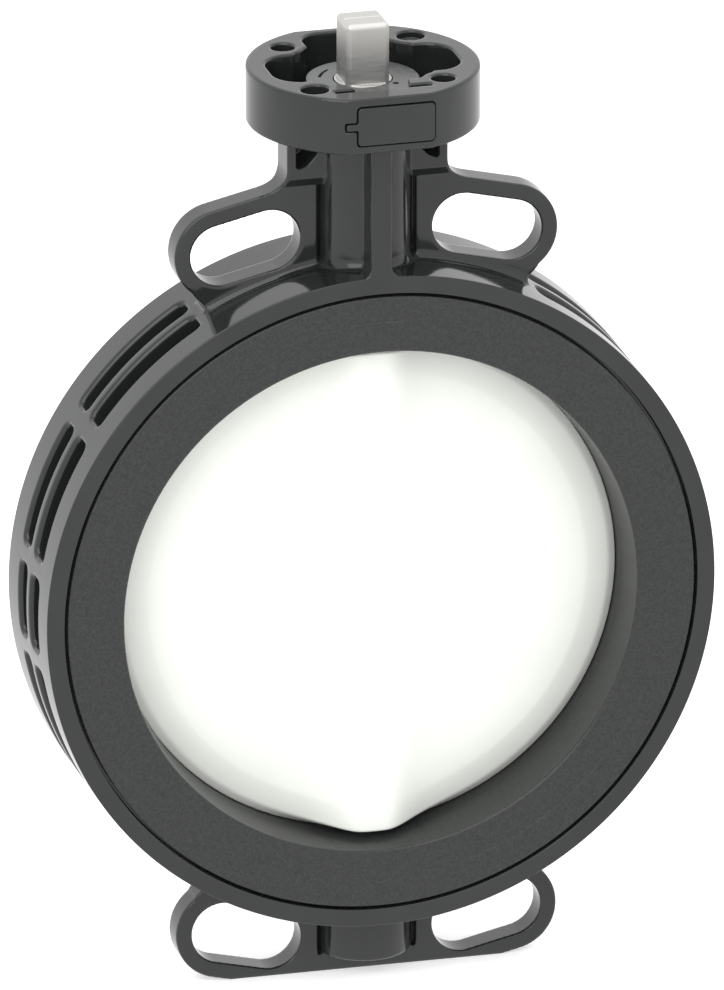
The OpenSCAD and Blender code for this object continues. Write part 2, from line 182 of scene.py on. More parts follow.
def vary(tree, shader, socket, pattern, low, high, pattern_low=0.3, pattern_high=0.7):
    """Lets a shader's value follow a pattern: low at the pattern's low value, high at its high one, and in
    proportion between them."""
    is_colour = isinstance(low, tuple)
    node = add_node(
        tree, "ShaderNodeMapRange",
        {"Value": pattern, "From Min": pattern_low, "From Max": pattern_high},
        clamp=True)
    if is_colour:
        # A colour mix has its two colours at inputs 6 and 7 and its result at output 2.
        mix = add_node(tree, "ShaderNodeMix", {"Factor": node.outputs[0]}, data_type="RGBA")
        mix.inputs[6].default_value = low
        mix.inputs[7].default_value = high
        tree.links.new(mix.outputs[2], shader.inputs[socket])
    else:
        node.inputs["To Min"].default_value = low
        node.inputs["To Max"].default_value = high
        tree.links.new(node.outputs[0], shader.inputs[socket])


# Glass-filled polypropylene, injection moulded in a polished tool. It is near black with a clean gloss, and
# the glass fibres leave a faint ripple about 2 mm long and slight cloudiness about 25 mm across.
housing_plastic, tree, shader, place = new_material("moulded_black_plastic", "#212322", 0.1)
cloud = add_node(tree, "ShaderNodeTexNoise", {"Vector": place, "Scale": 1 / (25 * mm), "Detail": 3.0})
ripple = add_node(tree, "ShaderNodeTexNoise", {"Vector": place, "Scale": 1 / (2 * mm), "Detail": 2.0})
vary(tree, shader, "Base Color", cloud.outputs["Fac"], linear("#1E201F"), linear("#242625"))
vary(tree, shader, "Roughness", cloud.outputs["Fac"], 0.08, 0.13)
bumps = add_node(tree, "ShaderNodeBump", {"Height": ripple.outputs["Fac"], "Strength": 0.25,
                                          "Distance": 0.01 * mm})
tree.links.new(bumps.outputs[0], shader.inputs["Normal"])


def rounded(corners, radius, steps=5):
    """Closed outline whose corners are arcs. Each arc's centre lies on its corner's bisector, at the radius
    divided by the sine of half the corner's angle, and its points divide the turn evenly."""
    corners = np.asarray(corners, float)
    radius = np.broadcast_to(np.asarray(radius, float), len(corners))[:, None]
    before = np.roll(corners, 1, 0) - corners
    after = np.roll(corners, -1, 0) - corners
    before /= np.linalg.norm(before, axis=1)[:, None]
    after /= np.linalg.norm(after, axis=1)[:, None]
    half = np.arccos(np.clip((before * after).sum(1), -1, 1))[:, None] / 2
    inward = (before + after) / np.linalg.norm(before + after, axis=1)[:, None]
    centre = corners + inward * radius / np.sin(half)
    start = corners + before * radius / np.tan(half) - centre
    end = corners + after * radius / np.tan(half) - centre
    turn = (math.pi - 2 * half)[:, None]
    share = np.linspace(0, 1, steps)[None, :, None]
    arc = (np.sin((1 - share) * turn) * start[:, None] + np.sin(share * turn) * end[:, None]) / np.sin(turn)
    return (centre[:, None] + arc).reshape(-1, 2)


def closed(grid):
    """A grid of points whose last column meets its first."""
    return np.concatenate([grid, grid[:, :1]], axis=1)


def round_bore(profile, angles):
    """Grid of a (radius, y) profile turned round the bore axis: angle 0 is up and a right angle is +X."""
    radius, y = profile[None, :, 0], profile[None, :, 1]
    turn = angles[:, None]
    return np.stack([radius * np.sin(turn), y + 0 * turn, radius * np.cos(turn)], -1)


def make_piece(name, grids, material, body, stands_for, skins=(), sharp_above=35):
    """One object from grids of points and from skins given as (points, faces). Faces join each point of a
    grid with its neighbours. Points that meet are merged and the faces are turned outwards."""
    points, faces, count = [], [], 0
    for grid in grids:
        rows, columns = grid.shape[:2]
        number = count + np.arange(rows * columns).reshape(rows, columns)
        quads = np.stack([number[:-1, :-1], number[1:, :-1], number[1:, 1:], number[:-1, 1:]], -1)
        points.append(grid.reshape(-1, 3))
        faces += quads.reshape(-1, 4).tolist()
        count += rows * columns
    for corners, joined in skins:
        points.append(corners)
        faces += (joined + count).tolist()
        count += len(corners)
    mesh = bpy.data.meshes.new(name)
    mesh.from_pydata(np.concatenate(points) * mm, [], faces)
    work = bmesh.new()
    work.from_mesh(mesh)
    same_place, no_length = 0.002 * mm, 0.001 * mm
    bmesh.ops.remove_doubles(work, verts=work.verts, dist=same_place)
    bmesh.ops.dissolve_degenerate(work, edges=work.edges, dist=no_length)
    bmesh.ops.recalc_face_normals(work, faces=work.faces)
    work.to_mesh(mesh)
    work.free()
    mesh.shade_smooth()
    mesh.set_sharp_from_angle(angle=math.radians(sharp_above))
    mesh.materials.append(material)
    piece = bpy.data.objects.new(name, mesh)
    bpy.context.scene.collection.objects.link(piece)
    if grids:
        even = piece.modifiers.new("even_shading", "WEIGHTED_NORMAL")
        even.keep_sharp = True
    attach(piece, body)
    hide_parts(*stands_for)


low, high = (np.array(corner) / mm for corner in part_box("body_ring"))
ring_r = high[0]
ring_front, ring_rear = low[1], high[1]
# The pockets of the right side: where each starts and ends in degrees from the top, and each row's y.
pocket_spans = [(30, 55.6), (57.9, 80.9), (82.9, 97.1), (99.1, 122.1), (124.4, 150)]
pocket_rows = [(-15.0, 0.6), (3.2, 17.0)]
pocket_deep = 14.5
pocket_lip = 2.0
pocket_corner = 5.0
pocket_foot = 1.5
pocket_draft = 0.3
least_corner, least_half = 0.02, 0.01
rows_split = (pocket_rows[0][1] + pocket_rows[1][0]) / 2


def perimeter(low_end, high_end, along, across):
    """Points round a rectangle from its low corner, with `along` and `across` steps on its sides."""
    a = np.linspace(low_end[0], high_end[0], along + 1)
    b = np.linspace(low_end[1], high_end[1], across + 1)
    return np.concatenate([
        np.stack([a[:-1], 0 * a[:-1] + b[0]], -1), np.stack([0 * b[:-1] + a[-1], b[:-1]], -1),
        np.stack([a[:0:-1], 0 * a[:0:-1] + b[-1]], -1), np.stack([0 * b[:0:-1] + a[0], b[:0:-1]], -1)])


def soft_outline(low_end, high_end, corner, along, across, arc_steps=4):
    """Rectangle with round corners that has as many points on each side as the perimeter above. It starts
    in the middle of the arc at its low corner. Each side is half an arc, a straight and half an arc."""
    ends = np.array([low_end, (high_end[0], low_end[1]), high_end, (low_end[0], high_end[1])])
    arcs = rounded(ends, corner, 2 * arc_steps + 1).reshape(4, -1, 2)
    points = []
    for side, steps in enumerate((along, across, along, across)):
        share = np.linspace(0, 1, steps - 2 * arc_steps + 1)[1:-1, None]
        start, end = arcs[side][-1], arcs[(side + 1) % 4][0]
        points += [arcs[side], start + (end - start) * share]
    return np.roll(np.concatenate(points), -arc_steps, axis=0)


def pocket_grid(cell_low, cell_high, hole_low, hole_high, along, across):
    """The ring's outer surface round one pocket, and the pocket: an outline in (length along the ring, y)
    is pushed inwards and down by a round lip, a wall, a round foot and a floor that closes on a line."""
    quarter = np.linspace(0, math.pi / 2, 6)
    lip = np.stack([pocket_lip * np.sin(quarter), pocket_lip * (1 - np.cos(quarter))], -1)
    foot = np.stack([pocket_lip + pocket_draft + pocket_foot * (1 - np.cos(quarter)),
                     pocket_deep - pocket_foot + pocket_foot * np.sin(quarter)], -1)
    half = (hole_high[1] - hole_low[1]) / 2
    floor_line = [[(pocket_lip + pocket_foot + half) / 2, pocket_deep], [half, pocket_deep]]
    loops = [np.insert(perimeter(cell_low, cell_high, along, across), 2, 0, axis=1)]
    for inset, depth in np.concatenate([lip, foot, floor_line]):
        near = (hole_low[0] + inset, hole_low[1] + inset)
        far = (hole_high[0] - inset, hole_high[1] - inset)
        corner = max(pocket_corner - inset, least_corner)
        corner = min(corner, max(half - inset, least_half))
        loops.append(np.insert(soft_outline(near, far, corner, along, across), 2, depth, axis=1)
                     if inset < half else
                     np.stack([np.clip(loops[-1][:, 0], near[0], far[0]),
                               0 * loops[-1][:, 1] + (near[1] + far[1]) / 2,
                               0 * loops[-1][:, 2] + depth], -1))
    loops = closed(np.array(loops))
    angle, radius = loops[..., 0] / ring_r, ring_r - loops[..., 2]
    return np.stack([radius * np.sin(angle), loops[..., 1], radius * np.cos(angle)], -1)


# The ring's outer surface is a row of cells, one for each pocket, that meet in the middle of the ribs.
edge_round = 0.6
surface_front, surface_rear = ring_front + edge_round, ring_rear - edge_round
spans = np.radians(pocket_spans + [(360 - b, 360 - a) for a, b in reversed(pocket_spans)])
middles = (spans[:-1, 1] + spans[1:, 0]) / 2
margin = math.radians(1.2)
starts = np.insert(middles, 0, spans[0, 0] - margin)
ends = np.append(middles, spans[-1, 1] + margin)
per_side = len(pocket_spans)
starts[per_side], ends[per_side - 1] = spans[per_side, 0] - margin, spans[per_side - 1, 1] + margin
across_steps, step_degrees, least_steps, gap_points = 13, 0.75, 16, 81
ring_grids, ring_angles = [], []
for (first, last), cell_start, cell_end in zip(spans, starts, ends):
    steps = max(int(round(math.degrees(cell_end - cell_start) / step_degrees)), least_steps)
    ring_angles.append(np.linspace(cell_start, cell_end, steps + 1))
    cell_rows = (surface_front, rows_split), (rows_split, surface_rear)
    for (y_low, y_high), cell_y in zip(pocket_rows, cell_rows):
        ring_grids.append(pocket_grid(
            (cell_start * ring_r, cell_y[0]), (cell_end * ring_r, cell_y[1]),
            (first * ring_r, y_low), (last * ring_r, y_high), steps, across_steps))
plain_y = np.concatenate([np.linspace(surface_front, rows_split, across_steps + 1),
                          np.linspace(rows_split, surface_rear, across_steps + 1)[1:]])
plain_profile = np.stack([0 * plain_y + ring_r, plain_y], -1)
for gap_start, gap_end in ((ends[per_side - 1], starts[per_side]), (ends[-1] - 2 * math.pi, starts[0])):
    gap = np.linspace(gap_start, gap_end, gap_points)
    ring_angles.append(gap)
    ring_grids.append(round_bore(plain_profile, gap))

# The rest of its section: the faces, the seats for the liner's flanges and the bore for its tube. The stem's
# hole isn't drawn in the ring, the liner or the disc, so the stem passes through them unseen.
rebate_r, tube_seat_r, rebate = 124.1, 112.0, 5.7
rebate_edge, rebate_corner, tube_edge = 0.4, 0.3, 0.5
section = rounded(
    [(ring_r, ring_front), (rebate_r, ring_front), (rebate_r, ring_front + rebate),
     (tube_seat_r, ring_front + rebate), (tube_seat_r, ring_rear - rebate),
     (rebate_r, ring_rear - rebate), (rebate_r, ring_rear), (ring_r, ring_rear)],
    [edge_round, rebate_edge, rebate_corner, tube_edge, tube_edge, rebate_corner, rebate_edge, edge_round])
ring_grids += [round_bore(section, angles) for angles in ring_angles]
make_piece("body_ring_shell", ring_grids, housing_plastic, "valve_body", ["body_ring"])


# ---- Neck ----
# The stem column with its ribs, plate and bolt lugs, from the same moulding as the ring. Outer edges are
# rounded and inner corners have fillets, as the mould needs. It is a skin round a field of distances.


def space(low_corner, high_corner, step):
    """The x, y and z of a grid of places, each as its own axis."""
    axes = [np.arange(a, b, step, dtype=np.float32) for a, b in zip(low_corner, high_corner)]
    return np.meshgrid(*axes, indexing="ij", sparse=True)


def slab(v, low_side, high_side):
    """Distance to the space between two planes."""
    return np.abs(v - (low_side + high_side) / 2) - (high_side - low_side) / 2


def soft_box_2d(u, v, low_side, high_side, corner=0.0):
    """Distance to a rectangle with round corners: the length of what lies past the corner's centre."""
    past_u = slab(u, low_side[0], high_side[0]) + corner
    past_v = slab(v, low_side[1], high_side[1]) + corner
    outside = np.hypot(np.maximum(past_u, 0), np.maximum(past_v, 0))
    return outside + np.minimum(np.maximum(past_u, past_v), 0) - corner


def capsule(u, v, start, end, radius):
    """Distance to a line between two points, less a radius."""
    run = end - start
    share = np.clip(((u - start[0]) * run[0] + (v - start[1]) * run[1]) / (run @ run), 0, 1)
    return np.hypot(u - start[0] - share * run[0], v - start[1] - share * run[1]) - radius


def meet(a, b, radius):
    """Distance to what two shapes share. The edge where they cross is rounded to the radius."""
    corner = np.hypot(np.maximum(radius + a, 0), np.maximum(radius + b, 0))
    return np.minimum(-radius, np.maximum(a, b)) + corner


def join(a, b, radius):
    """Distance to two shapes together. The corner between them is filled to the radius."""
    corner = np.hypot(np.maximum(radius - a, 0), np.maximum(radius - b, 0))
    return np.maximum(radius, np.minimum(a, b)) - corner


def mirrored(field):
    """The field of the half with positive x, and its mirror image before it."""
    return np.concatenate([field[::-1], field])


def skin(field, low_corner, step):
    """Points and faces where a field of distances is zero. Every grid cell that the skin crosses has one
    point, the mean of the places where it crosses the cell's edges. Each crossed edge of the grid has one
    face, which joins the points of the four cells round it."""
    inside = field < 0
    cells, places = [], []
    for axis in range(3):
        first, second = [slice(None)] * 3, [slice(None)] * 3
        first[axis], second[axis] = slice(None, -1), slice(1, None)
        edge = np.argwhere(inside[tuple(first)] != inside[tuple(second)])
        start = field[tuple(first)][tuple(edge.T)]
        end = field[tuple(second)][tuple(edge.T)]
        place = edge.astype(float)
        place[:, axis] += start / (start - end)
        around = np.zeros((4, 3), int)
        around[[1, 2], (axis + 1) % 3] = -1
        around[[2, 3], (axis + 2) % 3] = -1
        corner = edge[:, None] + around
        corner[start > 0] = corner[start > 0][:, ::-1]
        cells.append(corner.reshape(-1, 3))
        places.append(np.repeat(place, 4, axis=0))
    keys = np.ravel_multi_index(np.concatenate(cells).T, field.shape)
    number = np.unique(keys, return_inverse=True)[1].ravel()
    count = np.bincount(number)
    places = np.concatenate(places)
    middle = np.stack([np.bincount(number, places[:, k]) / count for k in range(3)], -1)
    return np.asarray(low_corner) + step * middle, number.reshape(-1, 4)


def from_axis(radius, degrees):
    """The x and z of a place: its distance from the bore axis, times the sine and cosine of its angle."""
    return radius * np.array([math.sin(math.radians(degrees)), math.cos(math.radians(degrees))])


mould_round, slot_round = 0.9, 0.8
ring_fillet, rib_fillet, plate_fillet = 3.5, 1.2, 0.6
# How the skin meets the ring: how far the fillet's ring lies under the real surface, what is spared at its
# faces and beyond the fillet, and how deep the part sinks into it.
hidden, face_spare, fillet_spare, sunk = 0.15, 0.02, 1, 1.2
neck_step = 0.66
bush_seat_r, seal_seat_r, seal_seat_z = 14.05, 12.8, (137.0, 155.0)
neck_half_w, neck_half_t, lug_half_t = 31.4, 7.75, 6.0
step_low, step_high = 162.0, 165.8
column_r, rib_half_w = 18.4, 4.2
lug_r, slot_r, lug_corner_r = 18.2, 12.0, 10.0
lug_in, lug_out = from_axis(146.3, 15), from_axis(148.25, 22.5)
lug_run = (lug_out - lug_in) / np.linalg.norm(lug_out - lug_in)
heel_top = lug_out + lug_r * np.array([0.5, -math.sqrt(0.75)])
heel_low = from_axis(130, 28.3)
heel_run = (heel_low - heel_top) / np.linalg.norm(heel_low - heel_top)
heel_in, heel_fillet = 20, 3
groove_in, groove_half_w, groove_web, groove_sunk, groove_round = 0.5, 1.3, 2, 10, 0.5
pocket_in, pocket_out, pocket_low, pocket_round = 19.6, 27.8, 169.8, 2.0
slant_z, slant_run, slant_rise, neck_web, pocket_edge = 175.5, 4.8, 4.2, 2, 0.6
grid_low, grid_out, grid_past, grid_top, neck_top = 108, 78, 1.5, 189, 187


def lug_outline(x, z):
    """Distance to one lug seen from the front: a capsule, and a heel that carries it on the ring."""
    outer_side = (z - heel_top[1]) * heel_run[0] - (x - heel_top[0]) * heel_run[1]
    upper_side = (z - lug_in[1]) * lug_run[0] - (x - lug_in[0]) * lug_run[1]
    end_side = (x - lug_out[0]) * math.sqrt(0.75) + (z - lug_out[1]) * 0.5
    heel = np.maximum(np.maximum(outer_side, upper_side), np.maximum(end_side, heel_in - x))
    return join(capsule(x, z, lug_in, lug_out, lug_r), heel, heel_fillet)


def on_ring(part, x, y, z):
    """Joins a part to the ring with a fillet, and keeps only the part and its fillet."""
    reach = np.hypot(x, z)
    whole = join(part, reach - (ring_r - hidden), ring_fillet)
    whole = meet(whole, slab(y, ring_front - face_spare, ring_rear + face_spare), mould_round)
    return np.maximum(np.maximum(whole, part - ring_fillet - fillet_spare), ring_r - sunk - reach)


def relieved(plate, x, y, z, top):
    """Cuts the upright grooves where a plate meets the column."""
    groove = np.maximum(np.abs(x - column_r + groove_in) - groove_half_w, groove_web - np.abs(y))
    return meet(plate, -np.maximum(groove, slab(z, ring_r - groove_sunk, top)), groove_round)


x, y, z = space((neck_step / 2, ring_front - grid_past, grid_low),
                (grid_out, ring_rear + grid_past, grid_top), neck_step)
half_t = lug_half_t + (neck_half_t - lug_half_t) * np.clip((z - step_low) / (step_high - step_low), 0, 1)
plate = join(lug_outline(x, z), x - neck_half_w, lug_corner_r)
plate = meet(plate, np.abs(y) - half_t, mould_round)
plate = meet(plate, -capsule(x, z, lug_in, lug_out, slot_r), slot_round)
plate = relieved(plate, x, y, z, step_low)
column = join(np.hypot(x, y) - column_r, x - rib_half_w, rib_fillet)
neck = join(plate, column, plate_fillet)
# The pocket under the flange is straight outside and slanted inside, and a web closes it at the back.
slant = ((x - pocket_in) * -slant_run + (z - slant_z) * -slant_rise) / math.hypot(slant_run, slant_rise)
pocket = meet(np.maximum(slant, pocket_in - x), np.maximum(x - pocket_out, pocket_low - z), pocket_round)
neck = meet(neck, -np.maximum(pocket, y - neck_half_t + neck_web), pocket_edge)
neck = np.maximum(on_ring(neck, x, y, z), z - neck_top)
# The bore is wide at the two bushes and narrow at the O-rings between them.
seat = np.where((z > seal_seat_z[0]) & (z < seal_seat_z[1]), seal_seat_r, bush_seat_r)
neck = np.maximum(neck, seat - np.hypot(x, y))
make_piece("neck_column_and_lugs", [], housing_plastic, "valve_body", ["neck_frame"],
           [skin(mirrored(neck), (neck_step / 2 - neck_step * len(neck), ring_front - grid_past, grid_low),
                 neck_step)], 180)


# ---- Foot ----
# The lower lugs, the flat edge that the valve stands on, and the boss round the lower bearing. It is the
# same moulding again, with the same edges and fillets.

foot_depth = -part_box("foot_frame")[0].z / mm
boss_depth, foot_half_w = 149.4, 52.0
block_corner, block_fillet, boss_round, foot_reach, foot_past = 2, 3, 1.2, 24, 2
x, y, z = space((neck_step / 2, -foot_reach, grid_low), (grid_out, foot_reach, foot_depth + foot_past),
                neck_step)
block = meet(x - foot_half_w, z - foot_depth, block_corner)
plate = np.maximum(join(lug_outline(x, z), block, block_fillet), z - foot_depth)
plate = meet(plate, np.abs(y) - lug_half_t, mould_round)
plate = meet(plate, -capsule(x, z, lug_in, lug_out, slot_r), slot_round)
plate = relieved(plate, x, y, z, boss_depth)
boss = meet(np.hypot(x, y) - column_r, z - boss_depth, boss_round)
foot = on_ring(join(plate, boss, plate_fillet), x, y, z)
# Here z is the depth below the axis. The blind bore ends under the thrust pad.
seat = np.where(z > seal_seat_z[0], seal_seat_r, bush_seat_r)
pad_seat = -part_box("lower_thrust_pad")[0].z / mm
foot = np.maximum(foot, np.minimum(seat - np.hypot(x, y), pad_seat - z))
points, faces = skin(
    mirrored(foot), (neck_step / 2 - neck_step * len(foot), -foot_reach, grid_low), neck_step)
make_piece("foot_and_lower_lugs", [], housing_plastic, "valve_body", ["foot_frame"],
           [(points * [1, 1, -1], faces)], 180)


# ---- Actuator flange ----
# The round head of the same moulding, where an actuator or lever bolts on. It has four bolt holes, a deep
# recess with four lobes, two slots for a lever's clips, and a seat for the tag in its front flat.

low, high = (np.array(corner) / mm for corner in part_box("actuator_flange"))
flange_r, flange_flat = high[0], high[1]
flange_low, flange_top = low[2], high[2]
flange_step = 0.58
bolt_xy, bolt_r, boss_r, wide_r, wide_deep = 24.75, 4.5, 8.1, 5.2, 3.0
recess_floor, column_top = 188.4, 198.8
tag_low, tag_high, tag_corner, tag_deep = (-13.1, 188.3), (17.5, 204.1), 1.6, 2.2
tongue_low, tongue_high, tongue_corner, tongue_fillet = (-17.5, 194.5), (-12.1, 197.9), 0.8, 0.4
side_x, side_y, side_corner = 36.4, 15.6, 11
rear_x, rear_y, rear_corner = 15.6, 37, 8
front_x, front_y, front_corner = 11.5, 32.5, 8
middle_r, middle_x, middle_y, tag_wall_y = 28, 23, 22.3, 22.4
clip_low, clip_high, clip_corner, clip_deep = (9.25, -31.8), (18.75, -28.8), 0.4, 12
lobe_fillet, column_fillet, wide_out, column_bore_r = 1.5, 1.0, 0.7, 15.6
flat_edge, flange_edge, recess_edge, hole_edge = 0.6, 0.8, 0.7, 0.5
wide_edge, clip_edge, tag_seat_edge = 0.4, 0.3, 0.2
grid_before, grid_after, far = 1.2, 1.5, 1e3


def tag_outline(x, z, gap):
    """Distance to the tag seen from the front: a plate with round corners and a small tongue."""
    plate = soft_box_2d(x, z, np.add(tag_low, gap), np.subtract(tag_high, gap), tag_corner)
    tongue = soft_box_2d(x, z, np.add(tongue_low, gap), np.subtract(tongue_high, (-gap, gap)),
                         tongue_corner)
    return join(plate, tongue, tongue_fillet)


low_corner = (-flange_r - grid_before, -flange_flat - grid_before, flange_low - grid_before)
high_corner = (flange_r + grid_after, flange_flat + grid_after, flange_top + grid_after)
x, y, z = space(low_corner, high_corner, flange_step)
reach = np.hypot(x, y)
outline = meet(reach - flange_r, np.abs(y) - flange_flat, flat_edge)
flange = meet(outline, slab(z, flange_low, flange_top), flange_edge)
# The recess: lobes at the sides, rear and front, a round middle, and the bolts' bosses left standing.
lobes = np.minimum(
    np.minimum(soft_box_2d(x, y, (-side_x, -side_y), (side_x, side_y), side_corner), reach - middle_r),
    np.minimum(soft_box_2d(x, y, (-rear_x, 0), (rear_x, rear_y), rear_corner),
               soft_box_2d(x, y, (-front_x, -front_y), (front_x, 0), front_corner)))
lobes = np.minimum(lobes, soft_box_2d(x, y, (-middle_x, -middle_y), (middle_x, middle_y)))
bolt = np.hypot(np.abs(x) - bolt_xy, np.abs(y) - bolt_xy)
lobes = meet(lobes, boss_r - bolt, lobe_fillet)
lobes = meet(lobes, -np.maximum(y + tag_wall_y, front_x - np.abs(x)), lobe_fillet)
flange = meet(flange, -meet(lobes, recess_floor - z, lobe_fillet), recess_edge)
flange = join(flange, np.maximum(reach - column_r, slab(z, flange_low, column_top)), column_fillet)
flange = meet(flange, bolt_r - bolt, hole_edge)
# The two holes on one diagonal are widened at the top.
wide = np.hypot(np.abs(x) - bolt_xy - wide_out, np.abs(y) - bolt_xy - wide_out) + far * (x * y < 0)
flange = meet(flange, -np.maximum(wide - wide_r, flange_top - wide_deep - z), wide_edge)
clip = soft_box_2d(np.abs(x), y, clip_low, clip_high, clip_corner)
flange = meet(flange, -np.maximum(clip, flange_top - clip_deep - z), clip_edge)
flange = meet(flange, -np.maximum(tag_outline(x, z, 0), y + flange_flat - tag_deep), tag_seat_edge)
flange = meet(flange, column_bore_r - reach, hole_edge)
make_piece("flange_head", [], housing_plastic, "valve_body", ["actuator_flange"],
           [skin(flange, low_corner, flange_step)], 180)


# ---- Tag ----
# A blank cover of the same plastic, moulded on its own. It clips into the seat in the flange's front flat,
# with a thin gap all round.

tag_step, tag_gap, tag_slack, tag_edge = 0.25, 0.4, 0.05, 0.3
tag_grid_x, tag_grid_z, tag_before, tag_after = 19, (187, 206), 0.5, 1.5
low_corner = (-tag_grid_x, -flange_flat - tag_before, tag_grid_z[0])
x, y, z = space(low_corner, (tag_grid_x, tag_after - flange_flat + tag_deep, tag_grid_z[1]), tag_step)
tag = meet(tag_outline(x, z, tag_gap), slab(y, -flange_flat, tag_deep - flange_flat - tag_slack), tag_edge)
make_piece("tag_cover", [], housing_plastic, "valve_body", ["tag_plate"],
           [skin(tag, low_corner, tag_step)], 180)


# ---- Seat liner ----
# The rubber seat that the disc closes on. It is moulded over a stiff ring, and its flanges are the gaskets
# against the pipe. It has flat pads where the disc's hub runs on it.

# EPDM rubber from a fine-blasted mould: black, satin, with a grain of about 0.5 mm, drawn at 0.9 mm so
# that it shows.
liner_rubber, tree, shader, place = new_material("moulded_epdm_rubber", "#202221", 0.34)
grain = add_node(tree, "ShaderNodeTexNoise", {"Vector": place, "Scale": 1 / (0.9 * mm), "Detail": 2.0})
cloud = add_node(tree, "ShaderNodeTexNoise", {"Vector": place, "Scale": 1 / (40 * mm), "Detail": 2.0})
vary(tree, shader, "Base Color", grain.outputs["Fac"], linear("#161817"), linear("#2A2C2B"))
vary(tree, shader, "Roughness", cloud.outputs["Fac"], 0.3, 0.38)
bumps = add_node(tree, "ShaderNodeBump", {"Height": grain.outputs["Fac"], "Strength": 0.5,
                                          "Distance": 0.06 * mm})
tree.links.new(bumps.outputs[0], shader.inputs["Normal"])

low, high = (np.array(corner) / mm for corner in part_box("seat_liner"))
face_r, front, rear = high[0], low[1], high[1]
seat_r, bore_r, tube_r, land_r = 98.98, 100.6, 108.0, 113.0
face_thick, land_low, seat_half, bore_spare = 5.5, 0.3, 8, 0.1
# The section's corners, and then the radius of each in the same order.
section = rounded(
    [(seat_r, -seat_half), (seat_r, seat_half), (bore_r, rear - land_low),
     (land_r - 2 * land_low, rear - land_low), (land_r, rear), (face_r, rear),
     (face_r, rear - face_thick), (tube_r, rear - face_thick),
     (tube_r, front + face_thick), (face_r, front + face_thick), (face_r, front), (land_r, front),
     (land_r - 2 * land_low, front + land_low), (bore_r, front + land_low)],
    [6, 6, 1.4, 0.6, 0.6, 0.7, 0.3, 0.5, 0.5, 0.3, 0.7, 0.6, 0.6, 1.4], 6)
section = np.concatenate([section, section[:1]])
angles = np.linspace(0, 2 * math.pi, 721)
liner = round_bore(section, angles)
# A pad's flat reaches 20 mm from the stem axis and blends out over 4 mm.
pad_z, pad_r, pad_blend = 97.5, 20.0, 4.0
reach = np.hypot(liner[..., 0], liner[..., 1])
share = np.clip((pad_r + pad_blend - reach) / pad_blend, 0, 1)
share = share * share * (3 - 2 * share)
inside = np.linalg.norm(liner[..., [0, 2]], axis=-1) < bore_r + bore_spare
drop = np.where(inside & (share > 0), share * (np.abs(liner[..., 2]) - pad_z), 0)
liner[..., 2] -= np.sign(liner[..., 2]) * np.maximum(drop, 0)
make_piece("seat_liner_rubber", [liner], liner_rubber, "valve_body", ["seat_liner"])


# ---- Disc ----
# The white disc that shuts the bore. It is moulded in PVDF as a shallow lens whose thickness swells gently
# into the hub round the stem, and its rim is bevelled down to a narrow sealing edge.

# Natural PVDF: waxy white with a trace of green, satin from a fine-ground mould, and almost even in tone.
disc_plastic, tree, shader, place = new_material("moulded_white_pvdf", "#E9EBE5", 0.38, 1.42)
cloud = add_node(tree, "ShaderNodeTexNoise", {"Vector": place, "Scale": 1 / (30 * mm), "Detail": 2.0})
ripple = add_node(tree, "ShaderNodeTexNoise", {"Vector": place, "Scale": 1 / (1.5 * mm), "Detail": 2.0})
vary(tree, shader, "Base Color", cloud.outputs["Fac"], linear("#E6E8E2"), linear("#EBEDE7"))
vary(tree, shader, "Roughness", cloud.outputs["Fac"], 0.35, 0.42)
bumps = add_node(tree, "ShaderNodeBump", {"Height": ripple.outputs["Fac"], "Strength": 0.2,
                                          "Distance": 0.01 * mm})
tree.links.new(bumps.outputs[0], shader.inputs["Normal"])

disc_r, hub_end = 98.9, 97.2
flat_r, rim_half, edge_half = 95.6, 5.6, 2.3
mid_half, hub_half, hub_spread, hub_crest = 15.0, 18.0, 21.0, 4.0
bevel_w, bevel_slope, bevel_soft = 9.5, 0.11, 0.3
edge_blend, face_bend, seal_bend, seal_flat = 1.0, 0.3, 0.8, 0.6
rise = mid_half - rim_half
dome_r = (flat_r ** 2 + rise ** 2) / (2 * rise)


def hub_share(x):
    """How far the thickness has swollen into the hub: 1 on its crest, and a squared bell beside it."""
    return (1 + (np.maximum(np.abs(x) - hub_crest, 0) / hub_spread) ** 2) ** -2


def half_thickness(x, z):
    """Half the disc's thickness: a dome that is part of a sphere, raised towards the hub near the stem."""
    dome = mid_half - dome_r + np.sqrt(dome_r ** 2 - x ** 2 - z ** 2)
    return dome + (hub_half - dome) * hub_share(x)


def bend(start, corner, end, steps=5):
    """Points of the quadratic curve from start to end that heads for the corner."""
    t = np.linspace(0, 1, steps)[None, :, None]
    return (1 - t) ** 2 * start[:, None] + 2 * t * (1 - t) * corner[:, None] + t ** 2 * end[:, None]


angles = np.linspace(0, 2 * math.pi, 361)
sin, cos = np.sin(angles), np.cos(angles)
# The hub's ends are cut flat across the stem. The least cosine keeps the division safe beside them.
least_cos = 1e-3
outer_r = np.minimum(disc_r, hub_end / np.maximum(np.abs(cos), least_cos))
# The face's edge lies on a sphere that grows from the plain rim to the hub's end.
edge_x = outer_r * sin
rim_sphere, hub_sphere = math.hypot(flat_r, rim_half), math.hypot(hub_end, hub_half)
sphere_r = rim_sphere + (hub_sphere - rim_sphere) * hub_share(edge_x)
edge_t = half_thickness(edge_x * flat_r / disc_r, flat_r * cos)
edge_r = np.sqrt(sphere_r ** 2 - edge_t ** 2)
inner_r = edge_r - edge_blend
# The rings of points lie closer together towards the rim.
shares = np.linspace(0, 1, 91) ** 0.6
face_radius = inner_r[:, None] * shares
face_t = half_thickness(face_radius * sin[:, None], face_radius * cos[:, None])
